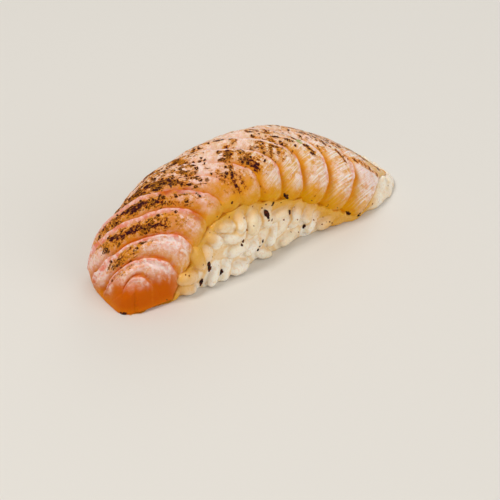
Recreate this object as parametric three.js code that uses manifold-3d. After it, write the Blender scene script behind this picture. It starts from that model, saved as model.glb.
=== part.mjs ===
// Seared salmon nigiri: a pressed block of sushi rice under one draped slab of salmon.
// Millimetres, +Z up. X runs along the piece, from the drooping near end to the thin far
// end, -Y is the open side where the rice shows, and the piece stands on z = 0.
import * as THREE from 'three';
import { mergeVertices } from 'three/addons/utils/BufferGeometryUtils.js';
import Module from 'manifold-3d';

const wasm = await Module();
wasm.setup();

// Loaf shape: everything lies on, or a set depth below, one smooth loaf surface.
const NEAR_TIP = -42.8;
const FAR_TIP = 50.8;
const TIP_SWAY = -7.5;
const SECTION_POWER = 2.4;
const STATIONS = [-46, -32, -16, 0, 16, 32, 46];
const LOAF_HEIGHT = [19.4, 23.1, 27.1, 28.2, 24.5, 15.7, 4.4];
const LOAF_HALF_WIDTH = [10.3, 11.6, 13.7, 12.9, 13.2, 14.4, 12.4];
const LOAF_SWAY = [1.8, 1.4, 1.1, 1.7, 1.9, 1.8, 2.7];
const NEAR_TAPER = { height: 22.4, openSide: 5.3, backSide: 9.2 };
const FAR_TAPER = { height: 9.3, width: 10.2 };
const HEIGHT_TAPER_POWER = 2.0;
const WIDTH_TAPER_POWER = 2.6;

// Salmon slab: thickness along the piece, and how far its two long edges hang down, as
// the angle that they leave bare above the plate on either side.
const SLAB_THICKNESS = [4.4, 5.6, 6.6, 6.4, 5.4, 4.0, 2.2];
const SLAB_END = 47.6;
const OPEN_EDGE_AT = [-30, -24.5, -19.5, -14, -6, 2, 10, 17, 24, 29.5, 35, 38.5, 41, 48];
const OPEN_EDGE = [0, 17, 31, 37, 35, 29.5, 25, 17, 8, 2, 13, 27, 40, 52];
const BACK_EDGE_AT = [-38, -30, -18, 0, 20, 36, 48];
const BACK_EDGE = [0, 8, 17, 19, 19, 22, 40];
const EDGE_ROUNDING = 3.2;
const LOBE_DEPTH = 3.0;

// Flakes: the level at which each flake's rim crosses the shoulder of the open side, and
// the height of that rim. Rims lag behind their level on the way over to the back.
const RIMS = [-42.8, -33.5, -27.8, -23.4, -18.2, -13.2, -7.5, -0.9, 6.1, 12.9, 21.3, 30.3, 38,
  46, 54, 62, 70, 78];
const RIM_HEIGHT = [0, 0.7, 1.2, 1.6, 1.7, 1.6, 0.6, 1.0, 1.5, 1.4, 1.5, 1.5, 0.7, 0.6, 0.6, 0.6,
  0.6, 0];
const ROWS_IN_BAND = [0, 0.12, 0.4, 0.75];
const LAG_AT = [-42.8, -33.5, -27.8, -23.4, -13.2, 6, 30, 50];
const LAG = [0, 9, 14.5, 18, 23.6, 33.5, 30, 29];
const LAG_START = [-20, -10, 2, 19, 37, 46, 58, 60];
const LAG_WIDTH = [62, 60, 53, 49, 55, 62, 63, 63];
const RIM_CURL = 0.003;
const LAST_LEVEL = 73;

// Rice: a pressed core with single grains proud of it wherever the slab leaves it bare.
const GRAIN = { length: 6.2, width: 3.1, depth: 2.9 };
const GRAIN_BED = 1.5;
const GRAIN_PITCH = 4.0;
const BARE_FROM = -28;
const GAP = 0.5;

const OUTER_COLUMNS = 22;
const INNER_COLUMNS = 6;
const CENTRE = [3.29, 1.85];

const clamp = THREE.MathUtils.clamp;
const lerp = THREE.MathUtils.lerp;
const smoothstep = THREE.MathUtils.smoothstep;
const radians = THREE.MathUtils.degToRad;

// Smooth curve through (at[i], value[i]), level beyond both ends.
function curve(x, at, value) {
  const last = at.length - 1;
  let i = 0;
  while (i < last - 1 && x > at[i + 1]) {
    i += 1;
  }
  const slope = (k) => {
    const a = Math.max(k - 1, 0);
    const b = Math.min(k + 1, last);
    return (value[b] - value[a]) / (at[b] - at[a]);
  };
  const h = at[i + 1] - at[i];
  const t = clamp((x - at[i]) / h, 0, 1);
  const t2 = t * t;
  const t3 = t2 * t;
  return (2 * t3 - 3 * t2 + 1) * value[i] + (t3 - 2 * t2 + t) * h * slope(i)
    + (3 * t2 - 2 * t3) * value[i + 1] + (t3 - t2) * h * slope(i + 1);
}

const taper = (distance, length, power) =>
  (1 - (1 - clamp(distance / length, 0, 1)) ** power) ** (1 / power);

// Point of the loaf at length x and angle (degrees, 0 at the open side's foot, 180 at the
// back's), lying `depth` below its surface.
function loafPoint(x, angle, depth) {
  const nearFade = clamp(1 - (x - NEAR_TIP) / 16, 0, 1);
  const farFade = clamp(1 - (FAR_TIP - x) / 16, 0, 1);
  const along = x + depth * (nearFade - farFade);
  const fromNear = along - NEAR_TIP - depth;
  const fromFar = FAR_TIP - depth - along;
  const farWidth = taper(fromFar, FAR_TAPER.width, WIDTH_TAPER_POWER);
  const sway = curve(along, STATIONS, LOAF_SWAY);
  const half = Math.max(curve(along, STATIONS, LOAF_HALF_WIDTH) - depth, 0) * farWidth;
  const openGrow = taper(fromNear, NEAR_TAPER.openSide, WIDTH_TAPER_POWER);
  const backGrow = taper(fromNear, NEAR_TAPER.backSide, WIDTH_TAPER_POWER);
  const open = lerp(TIP_SWAY, sway - half, openGrow);
  const back = lerp(TIP_SWAY, sway + half, backGrow);
  const height = Math.max(curve(along, STATIONS, LOAF_HEIGHT) - depth, 0)
    * taper(fromNear, NEAR_TAPER.height, HEIGHT_TAPER_POWER)
    * taper(fromFar, FAR_TAPER.height, HEIGHT_TAPER_POWER);
  const c = Math.cos(radians(angle));
  const s = Math.max(Math.sin(radians(angle)), 0);
  const y = (open + back) / 2 - Math.sign(c) * Math.abs(c) ** (2 / SECTION_POWER) * (back - open) / 2;
  return new THREE.Vector3(along, y, s ** (2 / SECTION_POWER) * height);
}

// Length at which the flake line of this level crosses the given angle.
function flakeLine(level, angle) {
  const start = curve(level, LAG_AT, LAG_START);
  const width = curve(level, LAG_AT, LAG_WIDTH);
  const lag = curve(level, LAG_AT, LAG);
  const past = Math.max(angle - start, 0) / width;
  const before = Math.max(start - angle, 0);
  const curled = smoothstep(level, -36, -16) * (1 - smoothstep(level, 29, 41));
  const curl = RIM_CURL * before * before * curled;
  return Math.max(level - lag * (1 - Math.exp(-past * past)) - curl, NEAR_TIP);
}

function bandOf(level) {
  let k = 0;
  while (k < RIMS.length - 2 && level >= RIMS[k + 1]) {
    k += 1;
  }
  return { k, phase: (level - RIMS[k]) / (RIMS[k + 1] - RIMS[k]) };
}

// Shingled relief: each flake climbs out of the groove behind the last rim to its own rim.
function relief(level, x, height) {
  const { k, phase } = bandOf(level);
  const groove = -0.6 * RIM_HEIGHT[k];
  const rim = 0.4 * RIM_HEIGHT[k + 1];
  const drop = lerp(0.4 * RIM_HEIGHT[k], groove, smoothstep(phase, 0, 0.12));
  const climb = groove + (rim - groove) * clamp((phase - 0.12) / 0.88, 0, 1) ** 0.7;
  const chin = lerp(smoothstep(height, 2, 9), 1, smoothstep(x, -32, -22));
  return (phase < 0.12 ? drop : climb) * chin;
}

// Angles at which the slab starts and ends on one flake line.
function slabSpan(level, grow) {
  const lobe = LOBE_DEPTH * Math.sin(Math.PI * bandOf(level).phase) ** 0.7;
  let open = 30;
  let back = 150;
  for (let i = 0; i < 30; i += 1) {
    const atOpen = flakeLine(level, open);
    const atBack = flakeLine(level, back);
    const hem = curve(atOpen, OPEN_EDGE_AT, OPEN_EDGE);
    const scallop = lobe * smoothstep(atOpen, -29, -22);
    open = lerp(open, Math.max(hem - scallop, 0), 0.5);
    back = lerp(back, 180 - curve(atBack, BACK_EDGE_AT, BACK_EDGE), 0.5);
  }
  if (level > SLAB_END + grow) {
    const start = curve(level, LAG_AT, LAG_START);
    const lag = curve(level, LAG_AT, LAG);
    const width = curve(level, LAG_AT, LAG_WIDTH);
    const share = clamp((level - SLAB_END - grow) / lag, 0, 0.999);
    open = Math.max(open, start + width * Math.sqrt(-Math.log(1 - share)));
  }
  return { open: Math.min(open, back), back };
}

// Closed geometry from rows that are all closed loops of equal length.
function loft(rows) {
  const count = rows[0].length;
  const position = rows.flat().flatMap((p) => [p.x, p.y, p.z]);
  const index = [];
  for (let i = 0; i < rows.length - 1; i += 1) {
    for (let j = 0; j < count; j += 1) {
      const a = i * count + j;
      const b = i * count + ((j + 1) % count);
      index.push(a, b + count, b, a, a + count, b + count);
    }
  }
  const geometry = new THREE.BufferGeometry();
  geometry.setAttribute('position', new THREE.Float32BufferAttribute(position, 3));
  geometry.setIndex(index);
  return geometry;
}

// The slab, or with `grow` the slab and a clearance of that width all round it.
function slabGeometry(grow) {
  const levels = [];
  for (let k = 0; k < RIMS.length - 1; k += 1) {
    for (const share of ROWS_IN_BAND) {
      levels.push(lerp(RIMS[k], RIMS[k + 1], share));
    }
  }
  const lastLevel = LAST_LEVEL + 2 * grow;
  const used = levels.filter((level) => level < LAST_LEVEL);
  used.push(lastLevel);
  const rows = used.map((level) => {
    const span = slabSpan(level, grow);
    const spread = grow * 4;
    const open = Math.max(span.open - spread, 0);
    const back = level === lastLevel ? open : Math.min(span.back + spread, 180);
    const lip = Math.min(span.open < 1 ? 1.6 : EDGE_ROUNDING, (back - open) / 5);
    const point = (angle, share) => {
      const x = flakeLine(level, angle);
      const thick = curve(x, STATIONS, SLAB_THICKNESS);
      const top = loafPoint(x, angle, 0);
      const outer = -relief(level, x, top.z) - grow;
      const live = level === RIMS[0] ? 0 : 1;
      return loafPoint(x, angle, lerp(outer * live, thick + grow, share));
    };
    const loop = [point(open, 0.5), point(open + 0.3 * lip, 0.15)];
    for (let j = 0; j <= OUTER_COLUMNS; j += 1) {
      loop.push(point(lerp(open + lip, back - lip, j / OUTER_COLUMNS), 0));
    }
    loop.push(point(back - 0.3 * lip, 0.15), point(back, 0.5), point(back - 0.3 * lip, 0.85));
    for (let j = 0; j <= INNER_COLUMNS; j += 1) {
      const share = (1 - Math.cos(Math.PI * j / INNER_COLUMNS)) / 2;
      loop.push(point(lerp(back - lip, open + lip, share), 1));
    }
    loop.push(point(open + 0.3 * lip, 0.85));
    return loop;
  });
  return loft(rows);
}

function toSolid(geometry) {
  geometry.deleteAttribute('normal');
  geometry.deleteAttribute('uv');
  const merged = mergeVertices(geometry, 1e-4);
  const source = merged.index.array;
  const triangles = [];
  for (let i = 0; i < source.length; i += 3) {
    const [a, b, c] = [source[i], source[i + 1], source[i + 2]];
    if (a !== b && b !== c && c !== a) {
      triangles.push(a, b, c);
    }
  }
  return new wasm.Manifold(new wasm.Mesh({
    numProp: 3,
    vertProperties: new Float32Array(merged.attributes.position.array),
    triVerts: new Uint32Array(triangles),
  }));
}

function toGeometry(solid) {
  const mesh = solid.getMesh();
  const geometry = new THREE.BufferGeometry();
  geometry.setAttribute('position', new THREE.BufferAttribute(mesh.vertProperties, 3));
  geometry.setIndex(new THREE.BufferAttribute(mesh.triVerts, 1));
  geometry.computeVertexNormals();
  return geometry;
}

const largest = (solid) =>
  solid.decompose().sort((a, b) => b.volume() - a.volume())[0];

// Repeatable random draw between 0 and 1.
let seed = 24;
function draw() {
  seed = (seed * 16807) % 2147483647;
  return seed / 2147483647;
}

// Angles of the slab's two edges at a length x.
const openEdge = (x) => curve(x, OPEN_EDGE_AT, OPEN_EDGE);
const backEdge = (x) => 180 - curve(x, BACK_EDGE_AT, BACK_EDGE);

// Rice core: just under the bed of the grains where it is bare, below the slab elsewhere.
// Its foot runs on below the plate, where it is cut off level.
function coreGeometry() {
  const rows = [];
  const steps = 20;
  const columns = 14;
  for (let i = 0; i <= steps; i += 1) {
    const x = lerp(NEAR_TIP + 1, FAR_TIP - 1, (1 - Math.cos(Math.PI * i / steps)) / 2);
    const under = curve(x, STATIONS, SLAB_THICKNESS) + 2 * GAP;
    const loop = [];
    for (let j = 0; j <= columns; j += 1) {
      const angle = 180 * j / columns;
      const covered = smoothstep(angle, openEdge(x) - 6, openEdge(x) + 1)
        * smoothstep(-angle, -backEdge(x) - 6, -backEdge(x) + 1)
        * smoothstep(-x, -SLAB_END - 1, -SLAB_END + 1);
      loop.push(loafPoint(x, angle, lerp(GRAIN_BED, under, covered)));
    }
    loop[0].z = -1;
    loop[columns].z = -1;
    rows.push(loop);
  }
  const closing = (loop) => {
    const middle = new THREE.Vector3();
    loop.forEach((point) => middle.addScaledVector(point, 1 / loop.length));
    return loop.map(() => middle);
  };
  return loft([closing(rows[0]), ...rows, closing(rows[steps])]);
}

function grainGeometry(x, angle) {
  const geometry = new THREE.SphereGeometry(1, 5, 4);
  const size = 0.86 + 0.28 * draw();
  geometry.scale(GRAIN.width / 2 * size, GRAIN.length / 2 * size, GRAIN.depth / 2 * size);
  const here = loafPoint(x, angle, GRAIN_BED);
  const out = loafPoint(x, angle, 0).sub(here).normalize();
  const side = loafPoint(x, angle + 2, GRAIN_BED).sub(here).normalize();
  const along = new THREE.Vector3().crossVectors(side, out).normalize();
  const turn = Math.PI * draw();
  const long = side.clone().multiplyScalar(Math.cos(turn)).addScaledVector(along, Math.sin(turn));
  long.addScaledVector(out, 0.5 * (draw() - 0.5)).normalize();
  const wide = new THREE.Vector3().crossVectors(long, out).normalize();
  const deep = new THREE.Vector3().crossVectors(wide, long);
  geometry.applyMatrix4(new THREE.Matrix4().makeBasis(wide, long, deep).setPosition(here));
  return geometry;
}

// Grains on an even, jittered net over the bare rice, each column laid upwards from the
// foot of either side until it meets the slab.
function grains() {
  const solids = [];
  for (let x = BARE_FROM; x < FAR_TIP - 2; x += GRAIN_PITCH) {
    for (const side of [1, -1]) {
      const foot = side === 1 ? 0 : 180;
      const bare = x > SLAB_END ? 90 : Math.abs(foot - (side === 1 ? openEdge(x) : backEdge(x)));
      let rise = 4 + 3 * draw();
      while (rise < bare - 1) {
        const here = loafPoint(x, foot + side * rise, GRAIN_BED);
        const next = loafPoint(x, foot + side * (rise + 4), GRAIN_BED);
        const shift = GRAIN_PITCH * 0.7 * (draw() - 0.5);
        solids.push(toSolid(grainGeometry(x + shift, foot + side * rise)));
        rise += 4 * GRAIN_PITCH / Math.max(here.distanceTo(next), 0.3);
      }
    }
  }
  return solids;
}

const slab = largest(toSolid(slabGeometry(0)));
const keepOut = largest(toSolid(slabGeometry(GAP)));
const floor = toSolid(new THREE.BoxGeometry(200, 200, 40).translate(0, 0, -20));
const heap = wasm.Manifold.union([toSolid(coreGeometry()), ...grains()]);
const rice = largest(heap.subtract(keepOut).subtract(floor));

const salmonMaterial = new THREE.MeshStandardMaterial({
  color: new THREE.Color('rgb(226, 152, 104)'),
  roughness: 0.38,
  metalness: 0,
});
const riceMaterial = new THREE.MeshStandardMaterial({
  color: new THREE.Color('rgb(232, 218, 192)'),
  roughness: 0.5,
  metalness: 0,
});

function named(name, solid, material) {
  const mesh = new THREE.Mesh(toGeometry(solid), material);
  mesh.name = name;
  return mesh;
}

const nigiri = new THREE.Group();
nigiri.add(named('rice', rice, riceMaterial));
nigiri.add(named('salmon', slab, salmonMaterial));
nigiri.position.set(-CENTRE[0], -CENTRE[1], 0);

export default nigiri;
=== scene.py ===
"""Seared salmon nigiri: a flaky slab of salmon over a block of sushi rice.

Shapes are worked out in millimetres, on the same loaf as the CAD solids and in its
coordinates: a length, an angle round the section from the open side (0 degrees) over the
crown (90) to the back (180), and a depth under the surface.
"""
from types import SimpleNamespace

import bmesh
import bpy
import numpy as np
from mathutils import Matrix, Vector
from mathutils.bvhtree import BVHTree
from mathutils.kdtree import KDTree


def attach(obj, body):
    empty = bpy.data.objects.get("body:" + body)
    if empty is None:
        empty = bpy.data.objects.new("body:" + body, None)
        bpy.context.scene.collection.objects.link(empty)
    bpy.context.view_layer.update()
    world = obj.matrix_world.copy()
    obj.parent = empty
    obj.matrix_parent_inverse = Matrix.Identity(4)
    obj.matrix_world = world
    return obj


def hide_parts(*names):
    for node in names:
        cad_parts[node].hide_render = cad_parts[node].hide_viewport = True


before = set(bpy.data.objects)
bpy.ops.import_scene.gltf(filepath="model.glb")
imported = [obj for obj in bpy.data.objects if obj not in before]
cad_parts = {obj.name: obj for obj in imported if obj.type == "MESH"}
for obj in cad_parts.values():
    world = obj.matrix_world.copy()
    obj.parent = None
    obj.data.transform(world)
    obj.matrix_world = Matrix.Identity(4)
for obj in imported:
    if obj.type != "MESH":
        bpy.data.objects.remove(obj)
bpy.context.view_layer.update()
RNG = np.random.default_rng(7)
MM = 0.001
# Points of the slab closer than this, in mm, are welded into one.
WELD = 0.02

# ---------------- loaf shape, millimetres
NEAR_TIP, FAR_TIP, TIP_SWAY, SECTION_POWER = -42.8, 50.8, -7.5, 2.4
# Over these lengths the loaf narrows and rises from its ends.
OPEN_TAPER, BACK_TAPER, NOSE_RISE, FAR_TAPER, FAR_RISE, TAPER_POWER = 5.3, 9.2, 22.4, 10.2, 9.3, 2.6
END_REACH = 16
STATIONS = [-46, -32, -16, 0, 16, 32, 46]
LOAF_HEIGHT = [19.4, 23.1, 27.1, 28.2, 24.5, 15.7, 4.4]
LOAF_HALF_WIDTH = [10.3, 11.6, 13.7, 12.9, 13.2, 14.4, 12.4]
LOAF_SWAY = [1.8, 1.4, 1.1, 1.7, 1.9, 1.8, 2.7]
SLAB_THICKNESS = [4.4, 5.6, 6.6, 6.4, 5.4, 4, 2.2]
SLAB_END = 47.6
# Angles from the table up to the slab's edge, on the open side and at the back.
OPEN_EDGE_AT = [-30, -24.5, -19.5, -14, -6, 2, 10, 17, 24, 29.5, 35, 38.5, 41, 48]
OPEN_EDGE = [0, 17, 31, 37, 35, 29.5, 25, 17, 8, 2, 13, 27, 40, 52]
BACK_EDGE_AT = [-38, -30, -18, 0, 20, 36, 48]
BACK_EDGE = [0, 8, 17, 19, 19, 22, 40]
# How far the flakes' ends lobe out of the hem and curl back at it, in degrees and mm per degree squared.
LOBE, CURL = 3.0, 0.003
# The slab's edges on each flake line are found in so many steps, each going this share of the way.
SPAN_STEPS, SPAN_EASE = 40, 0.4
# Levels of the flakes' rims, which are their lengths at the open edge, and the rims' heights.
RIMS = [-42.8, -33.5, -27.8, -23.4, -18.2, -13.2, -7.5, -0.9, 6.1, 12.9, 21.3, 30.3, 38,
        46, 54, 62, 70, 78]
RIM_HEIGHT = [0, 0.7, 1.2, 1.6, 1.7, 1.6, 0.6, 1, 1.5, 1.4, 1.5, 1.5, 0.7, 0.6, 0.6, 0.6,
              0.6, 0]
LAST_LEVEL, TOP_LEVEL = 73, 77.9
# How far each flake line lags towards the near end, from which angle on and over how many.
LAG_AT = [-42.8, -33.5, -27.8, -23.4, -13.2, 6, 30, 50]
LAG = [0, 9, 14.5, 18, 23.6, 33.5, 30, 29]
LAG_START = [-20, -10, 2, 19, 37, 46, 58, 60]
LAG_WIDTH = [62, 60, 53, 49, 55, 62, 63, 63]
CHIN_ROUND = 3.0
CHIN_AXIS = np.array([-42.7, -8.3]) + CHIN_ROUND
# The part's origin on the loaf.
CENTRE = np.array([3.29, 1.85, 0.0])


def smooth(x, a, b):
    """Goes smoothly from 0 at a to 1 at b, which may be the smaller of the two."""
    t = np.clip((x - a) / (b - a), 0, 1)
    return t * t * (3 - 2 * t)


def window(x, a, b, c, d):
    """Rises from a to b and falls again from c to d."""
    return smooth(x, a, b) * smooth(x, d, c)


def peak(x, at, width):
    return np.exp(-((x - at) / width) ** 2)


def lerp(a, b, t):
    return a + (b - a) * t


def curve(x, at, value):
    """Smooth curve through the knots, level beyond both ends."""
    at, value = np.asarray(at, float), np.asarray(value, float)
    last = len(at) - 1
    k = np.arange(last + 1)
    lo, hi = np.maximum(k - 1, 0), np.minimum(k + 1, last)
    slope = (value[hi] - value[lo]) / (at[hi] - at[lo])
    i = np.clip(np.searchsorted(at, x) - 1, 0, last - 1)
    h = at[i + 1] - at[i]
    t = np.clip((x - at[i]) / h, 0, 1)
    t2, t3 = t * t, t * t * t
    return ((2 * t3 - 3 * t2 + 1) * value[i] + (t3 - 2 * t2 + t) * h * slope[i]
            + (3 * t2 - 2 * t3) * value[i + 1] + (t3 - t2) * h * slope[i + 1])


def taper(distance, length, power):
    return (1 - (1 - np.clip(distance / length, 0, 1)) ** power) ** (1 / power)


def loaf_point(x, angle, depth):
    """Point of the loaf at length x and angle in degrees, `depth` under its surface."""
    x, angle, depth = np.broadcast_arrays(*(np.asarray(v, float) for v in (x, angle, depth)))
    near = np.clip(1 - (x - NEAR_TIP) / END_REACH, 0, 1)
    far = np.clip(1 - (FAR_TIP - x) / END_REACH, 0, 1)
    along = x + depth * (near - far)
    from_near = along - NEAR_TIP - depth
    from_far = FAR_TIP - depth - along
    sway = curve(along, STATIONS, LOAF_SWAY)
    half = np.maximum(curve(along, STATIONS, LOAF_HALF_WIDTH) - depth, 0)
    half = half * taper(from_far, FAR_TAPER, TAPER_POWER)
    open_y = lerp(TIP_SWAY, sway - half, taper(from_near, OPEN_TAPER, TAPER_POWER))
    back_y = lerp(TIP_SWAY, sway + half, taper(from_near, BACK_TAPER, TAPER_POWER))
    height = (np.maximum(curve(along, STATIONS, LOAF_HEIGHT) - depth, 0)
              * taper(from_near, NOSE_RISE, 2) * taper(from_far, FAR_RISE, 2))
    c, s = np.cos(np.radians(angle)), np.maximum(np.sin(np.radians(angle)), 0)
    y = (open_y + back_y) / 2 - np.sign(c) * np.abs(c) ** (2 / SECTION_POWER) * (back_y - open_y) / 2
    return np.stack([along, y, s ** (2 / SECTION_POWER) * height], -1)


def lag_of(level):
    """Angle from which a level's flake line lags, the angle it takes, and how far it lags."""
    return (curve(level, LAG_AT, v) for v in (LAG_START, LAG_WIDTH, LAG))


def flake_line(level, angle):
    """Length at which the flake line of this level crosses the given angle."""
    start, width, lag = lag_of(level)
    past = np.maximum(angle - start, 0) / width
    before = np.maximum(start - angle, 0)
    curl = CURL * before ** 2 * window(level, -36, -16, 29, 41)
    return np.maximum(level - lag * (1 - np.exp(-past ** 2)) - curl, NEAR_TIP)


def band_of(level):
    """Number of the flake at this level, and how far across it the level lies, from 0 to 1."""
    k = np.clip(np.searchsorted(RIMS, level, side="right") - 1, 0, len(RIMS) - 2)
    rims = np.asarray(RIMS, float)
    return k, (level - rims[k]) / (rims[k + 1] - rims[k])


def hems(x):
    """Angles of the slab's open and back edge at length x."""
    return curve(x, OPEN_EDGE_AT, OPEN_EDGE), 180 - curve(x, BACK_EDGE_AT, BACK_EDGE)


def slab_span(level):
    """Angles at which the slab starts and ends on each flake line."""
    lobe = LOBE * np.sin(np.pi * band_of(level)[1]) ** 0.7
    start, back = np.full(level.shape, 30.0), np.full(level.shape, 150.0)
    for _ in range(SPAN_STEPS):
        at_open, at_back = flake_line(level, start), flake_line(level, back)
        hem = hems(at_open)[0] - lobe * smooth(at_open, -29, -22)
        start = lerp(start, np.maximum(hem, 0), SPAN_EASE)
        back = lerp(back, hems(at_back)[1], SPAN_EASE)
    # Lines past the slab's end start where they come back to it.
    lag_start, width, lag = lag_of(level)
    share = np.clip((level - SLAB_END) / np.maximum(lag, 1e-6), 0, 0.999)
    cut = lag_start + width * np.sqrt(-np.log(1 - share))
    start = np.where(level > SLAB_END, np.maximum(start, cut), start)
    return np.minimum(start, back), back


# ---------------- noise
def hashed(i, j, k, seed):
    n = (i * 374761393 + j * 668265263 + k * 2147483647 + seed * 974634777) & 0xFFFFFFFF
    n = ((n ^ (n >> 13)) * 1274126177) & 0xFFFFFFFF
    return ((n ^ (n >> 16)) & 0xFFFFFF) / 0xFFFFFF


def noise(p, seed):
    """Smooth value noise from 0 to 1 at points p."""
    p = np.asarray(p, float)
    cell = np.floor(p).astype(np.int64)
    f = p - cell
    f = f * f * (3 - 2 * f)
    out = 0
    for di, dj, dk in np.ndindex(2, 2, 2):
        w = (np.where(di, f[..., 0], 1 - f[..., 0]) * np.where(dj, f[..., 1], 1 - f[..., 1])
             * np.where(dk, f[..., 2], 1 - f[..., 2]))
        out = out + w * hashed(cell[..., 0] + di, cell[..., 1] + dj, cell[..., 2] + dk, seed)
    return out


def fractal(p, seed, octaves=3):
    total, size, weight = 0, 0, 1.0
    for octave in range(octaves):
        total = total + weight * noise(np.asarray(p) * 2 ** octave, seed + octave)
        size += weight
        weight *= 0.5
    return total / size


# ---------------- mesh helpers
def link(obj):
    bpy.context.scene.collection.objects.link(obj)
    return obj


def new_mesh(name, verts, faces, material, attributes):
    """A piece of the object, from millimetres, with its numbers and colours at the vertices."""
    mesh = bpy.data.meshes.new(name)
    mesh.from_pydata((np.asarray(verts) * MM).tolist(), [], faces)
    for key, value in attributes.items():
        value = np.asarray(value, float)
        kind, field = ("FLOAT", "value") if value.ndim == 1 else ("FLOAT_COLOR", "color")
        mesh.attributes.new(key, kind, "POINT").data.foreach_set(field, value.ravel())
    mesh.polygons.foreach_set("use_smooth", [True] * len(mesh.polygons))
    mesh.materials.append(material)
    obj = link(bpy.data.objects.new(name, mesh))
    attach(obj, "root")
    return obj


def weld(obj):
    bm = bmesh.new()
    bm.from_mesh(obj.data)
    bmesh.ops.remove_doubles(bm, verts=bm.verts, dist=WELD * MM)
    bmesh.ops.recalc_face_normals(bm, faces=bm.faces)
    bm.to_mesh(obj.data)
    bm.free()


def loft_faces(rows, count):
    """Quads between closed loops of `count` points each."""
    i, j = np.meshgrid(np.arange(rows - 1), np.arange(count), indexing="ij")
    a, b = i * count + j, i * count + (j + 1) % count
    return np.stack([a, a + count, b + count, b], -1).reshape(-1, 4)


def mesh_points(mesh):
    points = np.empty(len(mesh.vertices) * 3)
    mesh.vertices.foreach_get("co", points)
    return points.reshape(-1, 3) / MM


def polygons_of(mesh):
    return [list(p.vertices) for p in mesh.polygons]


def tree_of(points):
    tree = KDTree(len(points))
    for i, p in enumerate(points):
        tree.insert(p, i)
    tree.balance()
    return tree


def unit(v):
    return v / max(np.linalg.norm(v), 1e-6)


def linear(rgb):
    """sRGB 0-255 to linear."""
    c = np.asarray(rgb, float) / 255
    return np.where(c <= 0.04045, c / 12.92, ((c + 0.055) / 1.055) ** 2.4)


def rgba(rgb):
    return (*linear(rgb).tolist(), 1)


def paint(base, over, amount):
    return base + (np.asarray(over) - base) * np.clip(amount, 0, 1)[..., None]


# ---------------- node helpers
class Nodes:
    """A material's node tree. A value is a number, a colour or another node's output."""

    def __init__(self, name):
        self.material = bpy.data.materials.new(name)
        self.material.use_nodes = True
        self.tree = self.material.node_tree
        self.shader = self.tree.nodes["Principled BSDF"]

    def put(self, target, value):
        if isinstance(value, bpy.types.NodeSocket):
            self.tree.links.new(value, target)
        else:
            target.default_value = value

    def shade(self, values):
        for name, value in values.items():
            self.put(self.shader.inputs[name], value)

    def add(self, kind, inputs=(), **settings):
        node = self.tree.nodes.new("ShaderNode" + kind)
        for key, value in settings.items():
            setattr(node, key, value)
        for key, value in dict(inputs).items():
            self.put(node.inputs[key], value)
        return node

    def place(self):
        return self.add("TexCoord").outputs["Object"]

    def attribute(self, name, output="Fac"):
        return self.add("Attribute", attribute_name=name).outputs[output]

    def math(self, operation, a, b=0.0):
        return self.add("Math", {0: a, 1: b}, operation=operation).outputs[0]

    def plus(self, first, *others):
        for other in others:
            first = self.math("ADD", first, other)
        return first

    def times(self, first, *others):
        for other in others:
            first = self.math("MULTIPLY", first, other)
        return first

    def minus(self, a, b):
        return self.math("SUBTRACT", a, b)

    def ramp(self, value, low, high, to_low=0.0, to_high=1.0):
        return self.add("MapRange", {"Value": value, "From Min": low, "From Max": high,
                                     "To Min": to_low, "To Max": to_high},
                        interpolation_type="SMOOTHSTEP").outputs[0]

    def mix(self, factor, a, b):
        return self.add("Mix", {0: factor, 6: a, 7: b}, data_type="RGBA").outputs[2]

    def layers(self, colour, coats):
        """Lays the coats over a colour in their order: each an amount and an sRGB colour."""
        for amount, rgb in coats:
            colour = self.mix(amount, colour, rgba(rgb))
        return colour

    def noise(self, vector, scale, detail=3.0, roughness=0.6, output="Fac"):
        return self.add("TexNoise", {"Vector": vector, "Scale": scale, "Detail": detail,
                                     "Roughness": roughness}).outputs[output]

    def bump(self, height, strength, depth):
        return self.add("Bump", {"Height": height, "Strength": strength,
                                 "Distance": depth * MM}).outputs[0]


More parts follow.
